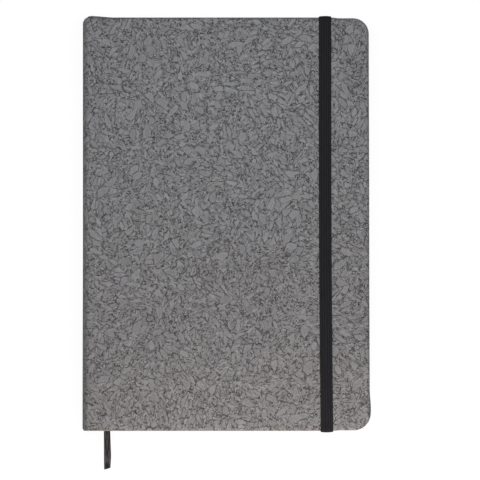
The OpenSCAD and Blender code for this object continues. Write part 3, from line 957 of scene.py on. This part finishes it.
# %% The elastic's form
strap_low, strap_high = [Vector(corner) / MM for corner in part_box("elastic_strap")]
STRAP_X = (strap_low.x + strap_high.x) / 2
STRAP_W, STRAP_T, STRAP_BEND = 6.3, 0.5, 0.6
STRAP_RIBS, RIB_DEPTH, STRAP_CUP = 5, 0.05, 0.22
STRAP_PROUD, STRAP_TAB, TAB_RUN = 0.55, 13.0, 11.5
STRAP_LEAN = math.radians(0.36)
STRAP_SHIFT, STRAP_SWAY = 0.33, 0.38
# On the cover the cup fades out in this many steps, up to this far from the roll
CUP_STEPS, CUP_STEP, CUP_END = 12, 0.4, 4.8


def strap_route():
    """Middle line of the band: place along the book, height, facing, and how much it cups."""
    radius = STRAP_BEND + STRAP_T / 2
    half = head_y + STRAP_PROUD - STRAP_T / 2
    low, high = strap_low.z + STRAP_T / 2, strap_high.z - STRAP_T / 2
    run, rise = half - radius, high - low - 2 * radius
    bend = [(math.sin(math.radians(15 * k)), math.cos(math.radians(15 * k))) for k in range(7)]
    line = [(-(head_y - STRAP_TAB) - TAB_RUN * k / 6, low, 0, -1, 0.0) for k in range(7)]
    line += [(-half + radius - radius * sine, low + radius - radius * cosine, -sine, -cosine, 0.0)
             for sine, cosine in bend]
    line += [(-half, low + radius + rise * k / 8, -1, 0, math.sin(math.pi / 2 * k / 8)) for k in range(1, 8)]
    line += [(-half + radius - radius * cosine, high - radius + radius * sine, -cosine, sine, 1.0)
             for sine, cosine in bend]
    line += [(-run + CUP_STEP * k, high, 0, 1, 1 - ease(k, 0, CUP_STEPS)) for k in range(1, CUP_STEPS + 1)]
    line += [(-run + CUP_END + (run - CUP_END) * k / 24, high, 0, 1, 0.0) for k in range(1, 24)]
    other = [(-y, z, -facing_y, facing_z, cup) for y, z, facing_y, facing_z, cup in reversed(line)]
    return line + [(0.0, high, 0, 1, 0.0)] + other


def strap_sway(y):
    """How far the band has crept toward the spine on its way from the head to the tail."""
    share = min(1.0, max(0.0, (head_y - y) / (2 * head_y)))
    return STRAP_SHIFT * ease(share, 0, 1) + STRAP_SWAY * math.sin(math.pi * share)


print("points on the elastic's route:", len(strap_route()))

# %% The elastic
def make_strap():
    section = flat_section(STRAP_W, STRAP_T, STRAP_RIBS, RIB_DEPTH, STRAP_RIBS * 6)
    route = strap_route()
    sections, lay_values, along = [], [], 0.0
    for index, (y, z, facing_y, facing_z, cup) in enumerate(route):
        if index:
            along += math.hypot(y - route[index - 1][0], z - route[index - 1][1])
        ring = []
        for across, height in section:
            out = height + STRAP_CUP * cup * (1 - (2 * across / STRAP_W) ** 2)
            local_y, local_z = y + facing_y * out, z + facing_z * out
            turned_x = STRAP_X + across * math.cos(STRAP_LEAN) - local_y * math.sin(STRAP_LEAN)
            turned_y = across * math.sin(STRAP_LEAN) + local_y * math.cos(STRAP_LEAN)
            ring.append((turned_x - strap_sway(local_y), turned_y, local_z))
            lay_values.append((across, along, height))
        sections.append(ring)
    print("the elastic is", round(along, 1), "mm long")
    return carried("elastic", sections, len(section), lay_values)


strap = new_piece("elastic", make_strap(), elastic, "back_cover", "elastic", "elastic_strap", sharp=60.0)
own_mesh(strap)

# %% [markdown]
# ## The ribbon
# The marker is a narrow satin ribbon. It is glued to the spine of the block, goes over the head between
# two leaves and comes out at the tail, where its end bends down to the table. The free end is a little
# wider in its middle and cupped, and it is cut at a slant. It is carried along its route like the
# elastic.

# %% The ribbon's form
RIBBON_W, RIBBON_T, RIBBON_STEPS = 3.3, 0.2, 10
RIBBON_REACH, RIBBON_CUT, RIBBON_SWAY, TIP_Z = 20.2, 1.3, 0.7, 0.3
# The free end: how much wider one side gets, where it is widest as a share, and how high it is cupped
RIBBON_FLARE, WIDEST, RIBBON_CUP = 0.2, 0.65, 0.25
page_tail = pages_high.y
ribbon_section = flat_section(RIBBON_W, RIBBON_T * 0.9, 0, 0.0, RIBBON_STEPS)


def ribbon_line(distance):
    """Middle line of the free part: along, height and slope, at a distance from the edge of the pages."""
    out = head_y - page_tail + RIBBON_REACH
    drop_angle = 2 * math.atan((middle_z - TIP_Z) / out)
    radius = out / math.sin(drop_angle)
    turn = max(0.0, distance) / radius
    along = radius * math.sin(turn) if distance > 0 else distance
    return along, middle_z - radius * (1 - math.cos(turn)), turn, radius * drop_angle


def make_ribbon():
    free_length = ribbon_line(0.0)[3]
    inside = 2 * page_tail + 0.1
    distances = [-inside + inside * k / 20 for k in range(20)]
    distances += [free_length * k / 24 for k in range(25)]
    sections, lay_values = [], []
    for distance in distances:
        share = max(0.0, distance / free_length)
        flare = 1 + RIBBON_FLARE * ease(share, 0.1, WIDEST) * (1 - 0.9 * ease(share, WIDEST, 1.0))
        cup = RIBBON_CUP * ease(share, 0.15, 0.6)
        ring = []
        for across, height in ribbon_section:
            side = across / RIBBON_W
            trimmed = distance - RIBBON_CUT * (side + 0.5) * ease(share, 0.6, 1.0)
            along, z, turn, _ = ribbon_line(trimmed)
            wide = across * (flare if side > 0 else 1.0)
            lift = height + cup * (1 - 4 * side * side)
            y = -page_tail - along - lift * math.sin(turn)
            x = ribbon_x(y) + wide / math.cos(RIBBON_LEAN) - RIBBON_SWAY * share
            ring.append((x, y, z + lift * math.cos(turn)))
            lay_values.append((across, distance, height))
        sections.append(ring)
    print("ribbon between the leaves and free:", round(inside + free_length, 1), "mm")
    return carried("ribbon", sections, len(ribbon_section), lay_values)


free_ribbon = make_ribbon()

# %% The ribbon's tab
def make_ribbon_tab():
    """The part that is glued to the spine of the block and goes over its head."""
    block_spine, tab, over_head = pages_low.x, 12.0, page_tail + RIBBON_T / 2
    reach = ribbon_x(page_tail) + RIBBON_W / 2 - block_spine
    route = [(block_spine - RIBBON_T / 2, page_tail - tab + (tab - 0.2) * k / 4, 1.0, -1, 0)
             for k in range(5)]
    route += [(block_spine + reach * k / 6, over_head, 1 - 0.93 * k / 6, 0, 1) for k in range(7)]
    sections, lay_values = [], []
    for index, (x, y, narrow, facing_x, facing_y) in enumerate(route):
        sections.append([(x + facing_x * height, y + facing_y * height, middle_z + across * narrow)
                         for across, height in ribbon_section])
        lay_values += [(across, 2.0 * index, height) for across, height in ribbon_section]
    return carried("ribbon tab", sections, len(ribbon_section), lay_values)


def joined(*meshes):
    """Several meshes as one."""
    form = bmesh.new()
    for mesh in meshes:
        form.from_mesh(mesh)
    form.to_mesh(meshes[0])
    form.free()
    return meshes[0]


whole_ribbon = joined(free_ribbon, make_ribbon_tab())
new_piece("ribbon", whole_ribbon, satin, "book_block", "ribbon", "ribbon_marker", sharp=60.0)

# %% [markdown]
# ## The bands
# The head and tail bands are beads sewn over with thread. The bead and its tape are solids of the
# construction. The stitches are one ring, drawn in mesh code, and a Geometry Nodes tree repeats it up
# the bead.

# %% Stitches on the bands
def ring_mesh(name, radius, thickness, sides, around):
    points, faces = [], []
    for i in range(sides):
        turn = 2 * math.pi * i / sides
        for j in range(around):
            roll = 2 * math.pi * j / around
            out = radius + thickness * math.cos(roll)
            points.append((out * math.cos(turn) * MM, out * math.sin(turn) * MM,
                           thickness * math.sin(roll) * MM))
            next_i, next_j = (i + 1) % sides * around, (j + 1) % around
            faces.append((i * around + j, next_i + j, next_i + next_j, i * around + next_j))
    mesh = bpy.data.meshes.new(name)
    mesh.from_pydata(points, [], faces)
    return mesh


def make_stitch_row():
    tree, start, end, identifiers = node_tree("stitch row", [
        ("Stitches", "Int"), ("First", "Vector"), ("Step", "Vector"), ("Tilt", "Vector"),
        ("Thread", "Material")])
    given = start.outputs
    line = add(tree, "GeometryNodeMeshLine", {}, {
        "Count": given["Stitches"], "Start Location": given["First"], "Offset": given["Step"]})
    rings = add(tree, "GeometryNodeInstanceOnPoints", {}, {
        "Points": line.outputs[0], "Instance": given["Geometry"], "Rotation": given["Tilt"]})
    real = add(tree, "GeometryNodeRealizeInstances", {}, {"Geometry": rings.outputs[0]})
    painted = add(tree, "GeometryNodeSetMaterial", {}, {
        "Geometry": real.outputs[0], "Material": given["Thread"]})
    tree.links.new(painted.outputs[0], end.inputs["Geometry"])
    return tree, identifiers


stitch_row, stitch_inputs = make_stitch_row()
BEAD_R, THREAD_R, STITCHES = 0.9, 0.2, 22
STITCH_SINK, STITCH_MARGIN = 0.08, 0.02
for name, side in (("head-band-stitches", 1), ("tail-band-stitches", -1)):
    ring = put_in_scene(name, ring_mesh(name, BEAD_R - STITCH_SINK, THREAD_R, 20, 6))
    band_low, band_high = [Vector(corner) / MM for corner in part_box(name[:4] + "_band")]
    end_y = side * (max(abs(band_low.y), abs(band_high.y)) - BEAD_R)
    first = Vector((band_high.x - BEAD_R, end_y, band_low.z + THREAD_R + STITCH_MARGIN))
    step = (band_high.z - band_low.z - 2 * THREAD_R - 2 * STITCH_MARGIN) / (STITCHES - 1)
    row = grown(ring, stitch_row, stitch_inputs, {
        "Stitches": STITCHES, "First": first * MM, "Step": Vector((0, 0, step)) * MM,
        "Tilt": Vector((0, 0, 0)), "Thread": thread})
    new_piece(name, row, thread, "book_block", "band", sharp=60.0)

# %% [markdown]
# ## Studio
# The floor is pale and catches the object's shadow. A white background could come from stronger lamps,
# but they would bleach the covering, so the floor glows a little where the camera sees it instead. Two
# soft lamps stand at the head and the tail: the photograph is a little cooler and darker at the head
# and warmer and lighter at the tail.

# %% Floor
FLOOR_REACH, FLOOR_GREY, FLOOR_ROUGHNESS = 3.0, 0.65, 0.9
FLOOR_GLOW, GLOW_SHARE = 1.1, 0.85


def make_floor():
    corners = [(-FLOOR_REACH, -FLOOR_REACH, 0), (FLOOR_REACH, -FLOOR_REACH, 0),
               (FLOOR_REACH, FLOOR_REACH, 0), (-FLOOR_REACH, FLOOR_REACH, 0)]
    floor_mesh = bpy.data.meshes.new("floor")
    floor_mesh.from_pydata(corners, [], [(0, 1, 2, 3)])
    floor = put_in_scene("floor", floor_mesh)
    material = bpy.data.materials.new("pale floor")
    material.use_nodes = True
    tree = material.node_tree
    shader = tree.nodes["Principled BSDF"]
    shader.inputs["Base Color"].default_value = (FLOOR_GREY, FLOOR_GREY, FLOOR_GREY, 1.0)
    shader.inputs["Roughness"].default_value = FLOOR_ROUGHNESS
    path = add(tree, "ShaderNodeLightPath").outputs
    seen = maths(tree, "MAXIMUM", path["Is Camera Ray"], path["Is Glossy Ray"])
    seen = maths(tree, "MAXIMUM", seen, path["Is Transmission Ray"])
    white = add(tree, "ShaderNodeEmission", {}, {"Color": (1, 1, 1, 1), "Strength": FLOOR_GLOW})
    share = maths(tree, "MULTIPLY", seen, GLOW_SHARE)
    mixed = add(tree, "ShaderNodeMixShader", {}, {0: share, 1: shader.outputs[0], 2: white.outputs[0]})
    tree.links.new(mixed.outputs[0], tree.nodes["Material Output"].inputs["Surface"])
    floor_mesh.materials.append(material)


make_floor()
print("floor:", 2 * FLOOR_REACH, "m wide")

# %% Lamps
WORLD_STRENGTH = 0.245
LAMPS = {
    "head lamp": {"place": (0.01, 0.10, 0.36), "size": (0.3, 0.1),
                  "power": 0.77, "colour": (0.93, 0.94, 1.0)},
    "tail lamp": {"place": (0.02, -0.21, 0.09), "size": (0.26, 0.06),
                  "power": 0.295, "colour": (1.0, 0.87, 0.80)},
}


def add_lamp(name, place, size, power, colour):
    """A soft rectangle of light that shines at the origin."""
    lamp = bpy.data.lights.new(name, "AREA")
    lamp.shape = "RECTANGLE"
    lamp.size, lamp.size_y = size
    lamp.energy = power
    lamp.color = colour
    holder = put_in_scene(name, lamp)
    holder.location = place
    holder.rotation_euler = Vector(place).to_track_quat("Z", "Y").to_euler()
    holder.visible_camera = False


world = bpy.data.worlds.new("studio")
world.use_nodes = True
world.node_tree.nodes["Background"].inputs["Color"].default_value = (1.0, 1.0, 1.0, 1.0)
world.node_tree.nodes["Background"].inputs["Strength"].default_value = WORLD_STRENGTH
scene.world = world
for name, values in LAMPS.items():
    add_lamp(name, **values)
print("lamps:", ", ".join(LAMPS))

# %% [markdown]
# ## Camera
# The photograph looks straight down and shows no perspective, so the camera is far away with a long
# lens. It stands above the pixel that is the photograph's middle, measured from the book's own middle.

# %% Camera
PHOTO_SIDE = 480
MM_PER_PIXEL = 0.5077
BOOK_PIXEL = (226.05, 224.2)
lens = bpy.data.cameras.new("photo camera")
lens.lens = 400.0
lens.sensor_width = 36.0
away = PHOTO_SIDE * MM_PER_PIXEL * MM * lens.lens / lens.sensor_width
camera = put_in_scene("photo camera", lens)
camera.location = ((PHOTO_SIDE / 2 - BOOK_PIXEL[0]) * MM_PER_PIXEL * MM,
                   (BOOK_PIXEL[1] - PHOTO_SIDE / 2) * MM_PER_PIXEL * MM,
                   book_top + away)
scene.camera = camera
scene.view_settings.view_transform = "Standard"
print("camera height, mm:", round(camera.location.z / MM, 1))
